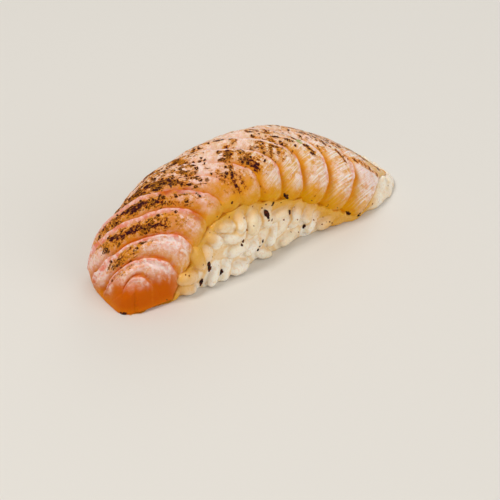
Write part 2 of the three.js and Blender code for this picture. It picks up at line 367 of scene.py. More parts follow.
# ---------------- marks on the slab
# Each mark is a stroke on the loaf: length and angle at each end, width in mm, strength.
# Charred streaks.
STREAKS = [
    (-22.6, 92, -21, 83, 1.2, 1.3), (-25.8, 100, -24, 92, 1.2, 1.3), (-32.3, 112, -27.8, 98, 1.2, 0.9),
    (-35, 111, -28.3, 85, 1.4, 0.95), (-28.4, 84, -22.3, 57, 0.9, 0.9), (-36.8, 140, -35.3, 98, 0.9, 0.8),
    (-35.3, 98, -29.6, 78, 0.8, 0.9), (-29.6, 78, -22.6, 56, 0.7, 0.8), (-36.2, 88, -28.6, 56, 1.5, 1),
    (-39, 120, -36, 84, 1.4, 0.9), (-40.4, 119, -32.9, 54, 0.9, 0.5), (-35.8, 138, -33, 119, 1, 0.7),
    (-27.2, 65, -24.6, 48, 1.4, 0.5), (-16, 108, -15.1, 95, 0.8, 1.3), (-23.6, 106, -21.4, 103, 0.7, 0.6),
    (-25.6, 76, -22.8, 70, 0.7, 0.5), (-29.7, 91, -22.6, 71, 0.6, 0.5), (-38.3, 156, -37.5, 142, 0.8, 0.8),
    (-17.5, 64, -15.2, 54, 1.2, 0.6), (-10.8, 61, -10.4, 51, 1, 0.6), (-3.9, 86, -5.6, 77, 1.1, 1.2),
    (-7.2, 73, -7, 66, 0.9, 1.1), (-2.9, 78, -3.1, 66, 0.8, 0.5), (-1.3, 67, 0.2, 57, 1.6, 1),
    (0.8, 74, 1.4, 64, 1, 0.7), (-7.8, 59, -7.6, 47, 1.4, 1), (-5.8, 58, -5.4, 46, 1, 0.7),
    (5.8, 87, 4.5, 72, 1.2, 0.7), (9.3, 79, 8.7, 58, 1.2, 0.6), (11.9, 68, 11.9, 61, 0.9, 0.7),
    (12.2, 95, 16, 83, 0.9, 0.6), (18.8, 80, 24.4, 66, 0.7, 0.6), (30.1, 76, 29.6, 58, 0.7, 0.7),
    (33.6, 62, 39.5, 46, 1, 0.7), (44.1, 88, 46.8, 60, 1, 0.6), (-3.1, 94, 1.2, 89, 0.8, 0.5),
    (10, 91, 22.8, 94, 0.8, 0.4), (-13.5, 94, -6.8, 90, 0.8, 0.35), (0, 41, 1, 36, 0.6, 0.5),
    (-19.3, 62, -16, 48, 0.7, 0.4), (-30, 120, -24, 138, 1.3, 0.9), (-36, 128, -32, 150, 1.2, 0.8),
    (-22, 112, -18, 128, 1.1, 0.8), (-10, 104, -7, 122, 1, 0.6), (6, 104, 9, 124, 1.1, 0.6),
    (24, 98, 27, 116, 0.9, 0.5), (13.3, 88, 16, 76, 0.4, 1.2), (17.4, 68, 19.2, 60, 0.4, 1.2),
    (27.8, 68, 28.4, 54, 0.4, 1.2), (22.4, 90, 22, 86, 0.4, 1.1), (10.2, 92, 9.8, 88, 0.5, 1.1),
    (3.6, 91, 5, 86, 0.45, 1.1), (5.2, 80, 5.2, 74, 0.5, 1.1), (7, 72, 6.6, 69, 0.5, 1),
    (6.4, 66, 6, 62, 0.45, 1), (-0.5, 95, -0.7, 90, 0.8, 1.2), (-6, 108, -6.8, 101, 0.6, 1),
    (-10, 112, -8.9, 109, 0.6, 1), (-18.5, 90, -16.3, 80, 0.5, 0.9), (-10.6, 69, -9.8, 62, 0.7, 0.9),
    (33.5, 84, 38, 74, 0.5, 1), (39.5, 78, 43.5, 62, 0.5, 1), (-21, 83, -19.2, 75, 0.7, 1.2),
    (-29.2, 111, -27.4, 103, 1, 1.2), (-24.2, 122, -21.9, 119, 0.6, 1.2), (-21.2, 108, -19, 101, 0.5, 1),
    (-15.2, 92, -12.4, 88, 0.5, 0.9), (-8, 112, -6, 108, 0.5, 1)]
# Painted highlights: wet white glints on the nose and beside it.
GLINTS = [
    (-29.8, 48, -26.3, 31, 2, 1), (-41, 126, -39.9, 100, 1.7, 1), (-35.2, 41, -31.2, 23, 1.1, 0.9),
    (-40.4, 92, -39.6, 78, 0.9, 0.6), (-24.4, 50, -21.6, 38, 1, 0.7), (-37.6, 56, -34.6, 46, 0.8, 0.6),
    (-39.6, 158, -39, 134, 1.2, 0.7), (-20.8, 66, -17, 56, 0.8, 0.5), (-29, 24, -27.4, 14, 1.2, 0.5),
    (-40.3, 105, -41.2, 116, 1.5, 0.9), (-40.2, 136, -40.8, 124, 1.3, 0.8)]
# Bare pale bands across the crown, which the torch missed.
BARE = [
    (-7.6, 95, -10.8, 80, 1.7, 1), (3.7, 99, 0.1, 81, 1.6, 1), (-2.6, 98, -3, 90, 0.8, 0.7),
    (-12.6, 92, -14.4, 76, 0.8, 0.8), (19, 92, 22.6, 74, 0.8, 0.8)]
# Golden pools of fat between the flakes, and deeper orange ones.
POOLS = [
    (-9.8, 44, -3.4, 47, 1.5, 1), (-13.8, 60, -11, 52, 1.3, 0.8), (-0.8, 45, 0.4, 54, 1.1, 1),
    (-16, 52, -13.6, 47, 0.8, 0.5), (-3.6, 52, -2.6, 58, 0.8, 0.5)]
EMBERS = [(-25, 82, -20.2, 71, 1.2, 1), (-21.4, 49, -20, 43, 0.9, 0.7)]
STROKE_POINTS = 7


def stroke_field(points, strokes):
    """How strongly the strokes cover each point: 0 beside them, their strength on them."""
    cover = np.zeros(points.shape[:-1])
    share = np.linspace(0, 1, STROKE_POINTS)
    for x0, angle0, x1, angle1, width, strength in strokes:
        spine = loaf_point(lerp(x0, x1, share), lerp(angle0, angle1, share), 0)
        for a, b in zip(spine[:-1], spine[1:]):
            run = b - a
            along = np.clip(((points - a) @ run) / (run @ run), 0, 1)
            gap = np.linalg.norm(points - a - along[..., None] * run, axis=-1)
            cover = np.maximum(cover, strength * peak(gap, 0, 1.15 * width))
    return cover


# ---------------- salmon slab
ROW_STEP, FEWEST_ROWS, MOST_ROWS = 0.3, 16, 26
OUTER_STEPS, LIP_STEPS, INNER_STEPS = 190, 7, 24
# Degrees of the loaf's angle that the slab's rounded edge takes up, in general and on the table.
LIP, LIP_ON_TABLE = 3.2, 1.6
# Direction across the nose's front, 40 degrees round from the loaf's length.
NOSE_ALONG, NOSE_ASIDE = 0.766, 0.643
# Share of a flake over which it drops behind the last rim; rims and grooves as shares of RIM_HEIGHT.
DROP, RIM_UP, GROOVE_DOWN = 0.12, 0.42, 0.68
LOW_RIM = 0.75


def slab_levels():
    """Levels of the slab's rows, closest together just behind each rim."""
    levels = []
    for low, high in zip(RIMS[:-1], RIMS[1:]):
        rows = int(np.clip((high - low) / ROW_STEP, FEWEST_ROWS, MOST_ROWS))
        levels += list(lerp(low, high, np.linspace(0, 1, rows, endpoint=False) ** 1.25))
    return np.array([v for v in levels if v < LAST_LEVEL] + [LAST_LEVEL])


def slab_loop(levels):
    """Each row's closed loop: angle and share of the slab's depth, and the row's two edges."""
    start, back = slab_span(levels)
    back[-1] = start[-1]
    lip = np.minimum(np.where(start < 1, LIP_ON_TABLE, LIP), (back - start) / 5)
    turn = np.linspace(0, np.pi / 2, LIP_STEPS + 1)
    outer = np.arange(OUTER_STEPS + 1) / OUTER_STEPS
    inner = (1 - np.cos(np.pi * np.arange(INNER_STEPS + 1) / INNER_STEPS)) / 2

    def round_edge(edge, inwards, turns, side):
        """Half an edge: above the middle of the slab's depth (side -1) or under it (side 1)."""
        return [(edge + inwards * lip * (1 - np.cos(t)), 0.5 + 0.5 * side * np.sin(t)) for t in turns]

    loop = (round_edge(start, 1, turn[:-1], -1)
            + [(lerp(start + lip, back - lip, s), 0.0) for s in outer]
            + round_edge(back, -1, turn[-2::-1], -1)
            + round_edge(back, -1, turn[1:-1], 1)
            + [(lerp(back - lip, start + lip, s), 1.0) for s in inner]
            + round_edge(start, 1, turn[-2:0:-1], 1))
    angle = np.stack([a for a, _ in loop], 1)
    share = np.stack([np.full(levels.shape, s) for _, s in loop], 1)
    return angle, share, start[:, None], back[:, None]


def slab_fields():
    """The slab's points in flake coordinates, with the fields that its relief and paint share."""
    levels = slab_levels()
    angle, share, start, back = slab_loop(levels)
    row_level = np.repeat(levels[:, None], angle.shape[1], 1)
    x = flake_line(row_level, angle)
    top = loaf_point(x, angle, 0)
    live = smooth(row_level, RIMS[0], RIMS[0] + 2.5) * smooth(back - start, 0, 12)
    # The rims wander a little, so no two run quite parallel.
    at = np.stack([x, angle * 0.25, row_level * 0.1], -1)
    wander = (fractal(at / 7.0, 3) - 0.5) * 1.5 + (noise(at / 1.6, 9) - 0.5) * 0.45
    wander = wander * live * smooth(angle, 12, 40) * (1 - 0.6 * smooth(x, -38, -40.5))
    # Round the front the first two flakes end side by side, not at one point.
    spread = curve(row_level, [-42.8, -39.5, -36.8, -31, -28.5], [0, 6, 4.6, 1.6, 0]) * smooth(angle, 42, 58)
    spread = spread + 1.2 * peak(row_level, -29.8, 2.2) * smooth(angle, 84, 96)
    level = np.clip(row_level + wander + spread, RIMS[0], TOP_LEVEL)
    band, phase = band_of(level)
    heights = np.asarray(RIM_HEIGHT)
    # The far end's low rims show on the crown and the back only.
    shown = lerp(smooth(level, 34, 30), 1, smooth(angle, 48, 62))
    rim_before, rim_after = (np.where(h < LOW_RIM, h * shown, h) for h in (heights[band], heights[band + 1]))

    f = SimpleNamespace(angle=angle, share=share, x=x, top=top, live=live, level=level, phase=phase,
                        rim_before=rim_before, rim_after=rim_after, from_hem=angle - start)
    f.across_nose = NOSE_ALONG * x - NOSE_ASIDE * top[..., 1]
    f.facing = smooth(f.across_nose, -33, -28.5)
    f.near = smooth(level, -4, -12)
    f.right = smooth(level, -8, 6)
    f.front = smooth(x, -38.2, -40) * smooth(angle, 80, 96)
    f.wide_rim = f.near * smooth(angle, 52, 66) * smooth(level, -26, -22)
    f.grooved = smooth(rim_before, 0.3, 1.0)
    # Past the crown the rim hides the bottom of the groove, so its bare strip lies further on.
    f.groove_at = 0.14 + 0.07 * smooth(angle, 58, 76) * f.near
    f.ribbed = f.right * window(phase, 0.12, 0.35, 0.86, 0.97) * smooth(f.from_hem, 2, 10)
    # Muscle fibres run aslant, lengthways and a little upwards.
    f.across = 0.25 * angle - 0.44 * x + 0.5 * (noise(top / 5.0, 53) - 0.5)
    f.patchy = fractal(top / 5.0, 71)
    f.tone, f.mottle = fractal(top / 4.0, 41), fractal(top / 1.4, 43)
    f.bare = stroke_field(top, BARE)
    return f


def torch(f):
    """How far the torch seared each point, and how many loose specks of char lie there."""
    x, angle, level, phase = f.x, f.angle, f.level, f.phase
    ridge_from = lerp(44, 64, smooth(level, -25, -22))
    ridge = window(phase, 0.26, 0.46, 0.84, 0.92) * f.near * smooth(level, -29, -26.5)
    ridge = ridge * smooth(angle, ridge_from, ridge_from + 26)
    calm = peak(x, 3, 5) * window(angle, 80, 86, 98, 106)
    haze = lerp(0.36, 0.26, f.right) * (1 - 0.8 * calm) * smooth(f.patchy, 0.42, 0.66)
    haze = haze * smooth(angle, 46, 64) * (1 - 0.35 * smooth(level, -16, -10))
    line = window(phase, 0.55, 0.72, 0.84, 0.94) * smooth(angle, 38, 60) * 0.3 * smooth(f.rim_after, 0.4, 1)
    # The torch lingered on the two flakes behind the nose, from the crown down the back.
    lingered = smooth(angle, 68, 80) * window(level, -18.4, -16.8, -8.4, -6.2) * smooth(x, -39.5, -37)
    lingered = lingered * lerp(0.25, 0.85, smooth(fractal(f.top / 2.2, 73), 0.4, 0.6))
    lingered = lingered * (1 - smooth(x, -17, -11) * smooth(angle, 110, 96))
    sear = np.maximum.reduce([0.86 * stroke_field(f.top, STREAKS), 0.6 * ridge, haze, line, lingered])
    sear = sear * smooth(level, -33, -29) * (1 - 0.4 * smooth(angle, 118, 158)) * (1 - 0.85 * f.front)
    # Rims and grooves stay bare, but for a dashed line behind each near rim.
    on_rim = smooth(phase, 0.85 - 0.06 * f.wide_rim, 0.9 - 0.05 * f.wide_rim) + 1 - smooth(phase, 0.02, 0.05)
    near_rims = smooth(angle, 30, 50) * smooth(level, -9.5, -12)
    on_rim = on_rim * np.maximum(near_rims, 0.9 * f.right * smooth(angle, 58, 70))
    clean = peak(phase, f.groove_at, 0.12) * f.near * f.grooved
    sear = sear * (1 - 0.9 * on_rim) * (1 - 0.9 * clean * (1 - 0.7 * smooth(angle, 112, 126)))
    dashed = peak(phase, 0.07, 0.03) * smooth(noise(f.top / 0.8, 77), 0.56, 0.66) * f.near
    sear = np.maximum(sear, 0.8 * dashed * smooth(level, -25, -22) * window(angle, 46, 58, 92, 104))

    near_specks = smooth(angle, 50, 72) * smooth(level, -31, -26) * lerp(0.25, 1, smooth(f.patchy, 0.36, 0.6))
    far_specks = lerp(0.8, 0.5, smooth(x, 8, 12)) * smooth(x, 8, 16) * smooth(angle, 76, 88)
    crown_specks = window(x, -26, -20, -7, -3) * smooth(angle, 68, 78)
    specks = np.maximum.reduce([near_specks, far_specks, crown_specks])
    specks = specks * (1 - 0.9 * on_rim) * (1 - 0.8 * clean) * (1 - 0.6 * f.front) * (1 - 0.6 * calm)
    back_patches = 0.85 * smooth(fractal(f.top / 6.0, 75), 0.46, 0.62)
    specks = specks * (1 - smooth(angle, 100, 122) * (1 - back_patches))
    specks = specks * (1 - 0.5 * smooth(x, 8, 16) * smooth(angle, 84, 66))
    spared = 1 - 0.95 * f.bare
    return sear * spared, specks * spared


def flake_form(f):
    """Shingled flakes: a drop behind each rim, then a long rise to the next."""
    groove = -GROOVE_DOWN * f.rim_before
    drop = lerp(RIM_UP * f.rim_before, groove, smooth(f.phase, 0, DROP))
    rise = np.clip((f.phase - DROP) / (1 - DROP) / 0.8, 0, 1)
    body = groove + (RIM_UP * f.rim_after - groove) * np.sin(np.pi / 2 * rise) ** 0.85
    dip = (-0.3 * peak(f.phase, 0.8, 0.06) + 0.16 * peak(f.phase, 0.93, 0.05)) * f.near
    roll = -0.1 * smooth(f.phase, 0.9, 1.0) * f.right
    lower_back = 1 - 0.35 * smooth(f.angle, 120, 165)
    merge = 1 - 0.75 * f.near * smooth(f.from_hem, 16, 2) * smooth(f.level, -34, -28)
    return np.where(f.phase < DROP, drop, body + (dip + roll) * f.rim_after) * lower_back * merge


def slab_relief(f):
    """How far the slab's face stands out from the loaf, in mm."""
    def strands(width, length, seed):
        return noise(np.stack([f.across / width, f.level / length, np.zeros_like(f.x)], -1), seed)

    plain_chin = smooth(f.top[..., 2], lerp(0.3, 2, f.facing), lerp(3.5, 9, f.facing))
    rough = lerp(plain_chin, 1, smooth(f.x, -32, -22))
    lump = fractal(f.top / 1.7, 11) - 0.5
    grit = fractal(f.top / 0.55, 21) - 0.5
    swell = noise(f.top / 6.0, 31) - 0.5
    fibre = 0.65 * strands(0.42, 9.0, 51) + 0.35 * strands(0.2, 5.0, 52) - 0.5
    outward = rough * (flake_form(f) + f.live * (lump * 0.3 + grit * 0.16 * smooth(f.sear, 0.15, 0.7)))
    outward = outward + f.live * (0.5 * swell + 0.16 * f.ribbed * fibre)
    tucked_hem = smooth(f.from_hem, 11, 0) ** 2 * smooth(f.x, -30, -24)
    return outward - tucked_hem


def slab_points(f):
    """The slab's vertices, with the near end's corner on the table rounded off."""
    thick = curve(f.x, STATIONS, SLAB_THICKNESS)
    verts = loaf_point(f.x, f.angle, lerp(-slab_relief(f) * f.live, thick, f.share))
    verts[..., 2] = np.maximum(verts[..., 2], 0.0)
    corner = verts[..., :2] - CHIN_AXIS
    reach = np.maximum(np.linalg.norm(corner, axis=-1), 1e-6)
    outside = (corner.max(-1) < 0) & (reach > CHIN_ROUND)
    rounded = CHIN_AXIS + corner * (CHIN_ROUND / reach)[..., None]
    verts[..., :2] = np.where(outside[..., None], rounded, verts[..., :2])
    return verts


def mark_flakes(f):
    """Adds the zones that follow the flakes: their grooves, painted shadow behind the rims, gold valleys of
    fat and painted shade, rims and low golden parts.
    """
    x, angle, phase, right = f.x, f.angle, f.phase, f.right
    squeeze = smooth(x, -37.5, -40.5)
    groove_wide = lerp(0.1, 0.08, right) + 0.1 * squeeze
    f.in_groove = peak(phase, lerp(f.groove_at - 0.03, 0.15, right), groove_wide) * f.grooved
    # Painted shadow: a thin dark line just behind each near rim.
    f.behind = peak(phase, 0.055, 0.03) * f.grooved * f.near
    f.rims_here = smooth(np.where(phase > 0.5, f.rim_after, f.rim_before), 0.3, 1.0)
    rim_from = lerp(0.86, 0.85, right) - 0.1 * squeeze - 0.05 * f.wide_rim
    rim_to = lerp(0.03, 0.1, right * smooth(angle, 34, 48))
    f.rim = (smooth(phase, rim_from, rim_from + 0.06) + 1 - smooth(phase, 0.0, rim_to)) * f.rims_here
    low_top = lerp(44, 29, smooth(x, 2, 18))
    f.low = smooth(angle + 10 * (f.tone - 0.5), low_top + 9, low_top - 10)
    f.low = f.low * smooth(x, 33, 27) * right
    # Gold in the valleys: the fat's colour, deepened towards each groove as painted shade.
    valley = smooth(phase, lerp(0.62, 0.55, right), 0.14) * f.grooved
    paler_top = smooth(angle, 62, 84) * (1 - 0.7 * smooth(angle, 112, 138))
    f.gold = valley * lerp(0.8, 0.95, right) * (1 - 0.5 * paler_top * right) * (1 - 0.6 * f.front)
    f.low_gold = f.low * smooth(phase, 1.0, 0.55) * 0.95


def mark_nose(f):
    """Adds the zones of the near end: browned flakes, painted highlights on the wet bands, and the bare chin.
    """
    level, phase, across, height = f.level, f.phase, f.across_nose, f.top[..., 2]
    brown_from = lerp(42, 56, smooth(level, -25, -22))
    f.browned = f.near * smooth(f.angle, brown_from, brown_from + 24) * smooth(level, -28.6, -27)
    f.browned = f.browned * (1 - f.front)
    # Painted shadow: an orange-brown line behind the first rim.
    f.first_line = peak(level, -32.6, 0.75) * window(across, -30.5, -28.5, -21, -18.5)
    nose = np.maximum(smooth(level, -21, -27), f.front)
    # Painted highlights: white patches on the wet bands of the nose, and the glints.
    tongue = smooth(phase, 0.62, 0.86) * peak(across, -24.8, 3.8)
    shine = peak(phase, 0.55, 0.24) * lerp(0.55, 1, smooth(level, -29, -26.5))
    shine = np.where(level < RIMS[1], 0.75 * tongue, shine)
    white = nose * shine * smooth(f.angle, 10, 22) * smooth(height, 6, 9) * (1 - 0.8 * f.browned) * 0.6
    f.white = np.maximum(white, stroke_field(f.top, GLINTS) * (1 - 0.8 * f.in_groove))
    chin_edge = height + 2.2 * (noise(across[..., None] / [2.4, 1, 1], 83) - 0.5)
    chin_top = lerp(3.0, 7.8, f.facing)
    f.chin = smooth(chin_edge, chin_top + 2.4, chin_top - 2.4) * smooth(f.x, -25, -31)
    f.strand = smooth(noise(across[..., None] / [1.1, 1, 1], 87), 0.66, 0.84)


def mark_top(f):
    """Adds the zones of the crown, the open hem and the far end."""
    x, angle = f.x, f.angle
    f.saddle = peak(f.level, -7, 8) * smooth(angle, 56, 74)
    f.crown = smooth(angle, 68, 84) * smooth(f.level, -12, 0) * (1 - 0.75 * smooth(angle, 108, 134))
    f.toasted = smooth(x, 4, 12) * smooth(angle, 72, 90) * lerp(0.45, 1, smooth(f.patchy, 0.34, 0.56))
    f.amber = smooth(f.from_hem + 6 * (f.tone - 0.5), 18, 4) * window(x, -26, -16, 27, 33)
    f.fat = f.near * smooth(f.from_hem, 16, 4) * smooth(f.level, -33, -27)
    f.pools, f.embers = stroke_field(f.top, POOLS), stroke_field(f.top, EMBERS)
    f.tip = smooth(x, 34, 41) * smooth(angle, 55, 80)
    f.flap = smooth(x + 0.03 * angle, 40.2, 41.8)
    f.last = smooth(x + 0.05 * angle, 32.5, 36) * smooth(angle, 62, 50) * (1 - f.flap)


def slab_coats(f):
    """Coats of paint in their order: sRGB colour, or a colour for each point, and amount."""
    right, mottle, open_flesh = f.right, f.mottle, 1 - f.in_groove
    paler = smooth(f.tone + 0.006 * (f.x - 14), 0.42, 0.6)
    pink = paint(np.broadcast_to(linear((232, 122, 90)), f.top.shape), linear((248, 208, 196)),
                 smooth(mottle, 0.4, 0.6) * lerp(0.45, 0.65, right) + right * 0.3)
    # Painted highlight along the rims' crests.
    crest_highlight = smooth(f.phase, 0.9, 0.95) * f.rims_here * smooth(noise(f.top / 1.2, 91), 0.34, 0.6)
    mottled = smooth(mottle, 0.48, 0.7) * lerp(0.4, 0.75, f.near * smooth(f.level, -24, -20))
    return [
        # Flesh, then what lies in the grooves: fat, whose gold in the valleys is partly painted shade.
        ((240, 186, 168), smooth(f.tone, 0.4, 0.6) * 0.85),
        ((234, 194, 128), right * 0.85),
        ((236, 204, 176), right * paler * 0.9),
        ((216, 136, 40), f.browned * 0.75),
        ((230, 160, 8), f.gold),
        ((226, 158, 0), f.low_gold),
        ((226, 112, 2), f.in_groove * lerp(1, 0.4, right)),
        ((224, 136, 0), f.in_groove * right * 0.6),
        # Painted shadow lines: a thin one behind each near rim, and one behind the first rim.
        ((186, 70, 2), f.behind * 0.8),
        ((204, 92, 14), f.first_line * 0.85),
        # The nose's pale front, and painted highlights where its bands are wet.
        ((246, 206, 190), f.front * smooth(mottle, 0.3, 0.5) * 0.9 * open_flesh),
        ((204, 112, 22), f.front * f.in_groove * 0.9),
        ((246, 202, 190), f.white * smooth(mottle, 0.26, 0.46) * 0.92),
        # Rims with a painted highlight along their crests, and the paler crown.
        (pink, f.rim * lerp(1, 0.75, right) * (1 - 0.7 * f.low)),
        ((255, 226, 214), crest_highlight * lerp(0.35, 0.7, right) * (1 - f.low)),
        ((236, 196, 180), f.saddle * 0.8 * open_flesh),
        ((232, 194, 168), f.crown * 0.8 * (1 - 0.6 * f.rim)),
        ((240, 206, 192), np.maximum(f.crown * f.rim * 0.8, f.bare * 0.45)),
        # Juice and fat.
        ((228, 160, 2), f.amber * 0.9),
        ((204, 158, 100), f.toasted * 0.2),
        ((228, 150, 0), f.pools * 0.95),
        ((200, 84, 0), f.embers),
        ((230, 168, 56), f.fat * 0.85),
        ((222, 146, 30), mottled * (1 - f.rim) * (1 - 0.4 * f.crown)),
        # The chin is bare orange flesh with a few faint lines running down it; painted light makes it paler
        # to the left and brighter orange at its foot.
        ((206, 96, 0), f.chin),
        ((214, 124, 2), f.chin * smooth(f.across_nose, -28.5, -34.5) * 0.9),
        ((230, 138, 30), f.chin * f.strand * 0.3),
        ((226, 128, 6), f.chin * smooth(f.top[..., 2], 2.6, 0.6) * 0.5),
        # The far end and the underside.
        ((232, 178, 80), f.tip * 0.6),
        ((246, 222, 214), f.last * 0.95 * open_flesh),
        ((228, 184, 118), f.flap * (1 - 0.5 * f.in_groove) * lerp(0.75, 1, smooth(mottle, 0.4, 0.6))),
        ((216, 140, 40), 1 - f.face)]


def slab_colour(f):
    """The paint at each point, as linear RGB and alpha."""
    colour = np.broadcast_to(linear((232, 150, 96)), f.top.shape)
    for over, amount in slab_coats(f):
        colour = paint(colour, linear(over) if isinstance(over, tuple) else over, amount)
    return np.concatenate([colour, np.ones((*f.x.shape, 1))], -1)


def salmon():
    f = slab_fields()
    f.sear, f.speckle = torch(f)
    f.face = smooth(f.share, 0.6, 0.0)
    mark_flakes(f)
    mark_nose(f)
    mark_top(f)
    nose_flakes = f.near * smooth(f.level, -24, -20) * smooth(f.x, -38, -34)
    not_milky = (f.gold, f.low_gold, 0.9 * f.amber, f.fat, f.chin, f.in_groove, f.pools, f.embers,
                 0.7 * f.flap, 0.35 * nose_flakes)
    pale = f.ribbed * (1 - 0.6 * smooth(f.angle, 72, 88)) * (1 - 0.25 * f.last) * (1 - 0.3 * f.flap)
    attributes = {
        "sear": f.sear * (1 - 0.9 * f.embers) * f.face,
        "speckle": f.speckle * (1 - f.embers) * f.face,
        "fibre": f.across * MM,
        "along": f.level * MM,
        "seam": np.cumsum(np.linalg.norm(np.diff(f.top, axis=1, prepend=f.top[:, :1]), axis=2), 1) * MM,
        # Where highlights are painted on the nose, and its coat is glossier.
        "highlight_and_gloss": f.white * f.face,
        "pale": pale * lerp(0.7, 1, smooth(f.x, 16, 26)),
        "milky": np.multiply.reduce([1 - v for v in not_milky]),
        "wet": f.chin,
    }
    attributes = {name: value.ravel() for name, value in attributes.items()}
    attributes["tint"] = slab_colour(f).reshape(-1, 4)
    obj = new_mesh("salmon_slab", slab_points(f).reshape(-1, 3) - CENTRE, loft_faces(*f.x.shape).tolist(),
                   salmon_material(), attributes)
    weld(obj)
    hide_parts("salmon")
    return obj


def salmon_material():
    n = Nodes("seared_salmon")
    place, along = n.place(), n.attribute("along")
    sear, speckle, pale, milky = (n.attribute(v) for v in ("sear", "speckle", "pale", "milky"))
    dry = n.minus(1.0, n.attribute("wet"))
    # `lines` run with the muscle fibres, `drawn` along the flakes.
    lines = n.add("CombineXYZ", {0: n.times(n.attribute("fibre"), 2600), 1: n.times(along, 150)}).outputs[0]
    drawn = n.add("CombineXYZ", {0: n.times(n.attribute("seam"), 0.45), 1: along}).outputs[0]
    fibre = n.noise(lines, 1.0, 2.0)
    blotch = n.noise(place, 520, 4.0, 0.65)
    between = n.times(n.ramp(fibre, 0.38, 0.46, 0.55, 0.0), pale, milky)
    strand = n.times(n.ramp(fibre, 0.51, 0.59), n.ramp(milky, 0, 1, 0.1, 0.9), pale)
    # Painted highlight patches on the milky flesh.
    highlight_patches = n.times(milky, n.ramp(n.noise(place, 900, 4.0, 0.65), 0.5, 0.58, 0, 0.6))
    # Painted highlight streaks on the bare bands of the nose, where the coat is also glossier.
    highlight_streak = n.times(n.attribute("highlight_and_gloss"), n.ramp(n.noise(drawn, 1500), 0.46, 0.6))
    # Browning, then char, where the torch caught the crests.
    grain, patch = n.noise(place, 1500, 4.0, 0.7), n.noise(drawn, 820, 4.0, 0.65)
    heat = n.plus(n.times(grain, 0.55), n.times(patch, 0.45), n.times(sear, 0.18),
                  n.ramp(sear, 0.65, 1.05, 0, 0.085))
    golden = n.times(n.ramp(heat, 0.515, 0.585), n.ramp(sear, 0.08, 0.4, 0, 0.9))
    brown = n.times(n.ramp(heat, 0.61, 0.64), n.ramp(sear, 0.04, 0.25))
    dark = n.times(n.ramp(heat, 0.655, 0.685), n.ramp(sear, 0.06, 0.3))
    # Thin curled flecks.
    curl = n.math("ABSOLUTE", n.minus(n.noise(drawn, 900, 2.0, 0.5), 0.5))
    some = n.ramp(n.plus(n.noise(drawn, 620), n.times(speckle, 0.2)), 0.66, 0.7)
    colour = n.layers(n.attribute("tint", "Color"), [
        (between, (226, 156, 62)),
        (strand, (252, 240, 234)),
        (n.times(dry, n.ramp(blotch, 0.5, 0.62, 0, 0.5)), (222, 140, 18)),
        (highlight_patches, (252, 228, 220)),
        (n.times(highlight_streak, 0.8), (255, 236, 230)),
        (golden, (220, 142, 30)),
        (n.times(brown, 0.9), (158, 70, 14)),
        (n.times(dark, 0.97), (56, 18, 26)),
        (n.times(some, n.ramp(curl, 0.03, 0.09, 0.85, 0.0)), (218, 140, 34)),
        (n.times(some, n.ramp(curl, 0.02, 0.036, 0.95, 0.0)), (74, 26, 12))])
    # Loose specks of char with a browned ring, in bent cells.
    wobble = n.noise(place, 1800, 4.0, 0.7, "Color")
    ragged = n.ramp(n.noise(place, 2600, 2.0), 0.38, 0.45)
    grids = ((place, 1.1, 700, 0.42), (place, 1.1, 1000, 0.52), (drawn, 0.8, 640, 0.46))
    for vector, bend, scale, share in grids:
        bent = n.add("VectorMath", {0: wobble, 1: (bend * MM,) * 3, 2: vector}, operation="MULTIPLY_ADD")
        cells = n.add("TexVoronoi", {"Vector": bent.outputs[0], "Scale": scale}).outputs
        lot = n.add("SeparateColor", {"Color": cells["Color"]}).outputs[0]
        chosen = n.ramp(n.plus(lot, n.times(speckle, share)), 1.0, 1.05)
        ring = n.times(chosen, n.ramp(cells["Distance"], 0.26, 0.66, 0.8, 0.0))
        dot = n.times(chosen, n.ramp(cells["Distance"], 0.32, 0.46, 1.0, 0.0), ragged)
        colour = n.layers(colour, [(ring, (212, 134, 30)), (dot, (60, 18, 8))])
    glaze = n.plus(n.times(highlight_streak, 0.7), n.times(milky, n.ramp(blotch, 0.4, 0.6, 0.3, 0.0)))
    height = n.plus(n.times(fibre, pale, 0.7), n.times(n.noise(place, 1500, 3.0, 0.65), 0.8),
                    n.times(dark, 0.5), n.times(n.noise(place, 640, 2.0, 0.5), 0.9))
    bump = n.bump(n.times(height, n.ramp(dry, 0, 1, 0.35, 1.0)), 0.6, 0.3)
    n.shade({"Base Color": colour,
             "Roughness": n.plus(n.ramp(dark, 0, 1, 0.36, 0.6), n.ramp(blotch, 0.3, 0.7, -0.08, 0.1)),
             "Specular IOR Level": 0.05, "Coat Roughness": 0.2,
             "Coat Weight": n.times(glaze, n.minus(1.0, dark)),
             "Subsurface Weight": 0.3, "Subsurface Radius": (1.0, 0.5, 0.2), "Subsurface Scale": 0.6 * MM,
             "Normal": bump, "Coat Normal": bump})
    return n.material


# ---------------- rice
# Half-lengths of a grain, and the least distance between two grains' spines.
GRAIN_LONG, GRAIN_WIDE, GRAIN_DEEP, GRAIN_GAP = 3.4, 1.78, 1.6, 2.3
SPINE_POINTS = 5
CORE_ROWS, CORE_COLUMNS = 90, 60
SKIN_VOXEL, SKIN_MELT = 0.32, 0.5
# From this length on, the thin far end of the slab presses the grains under it flat.
PRESSED_FROM = 27


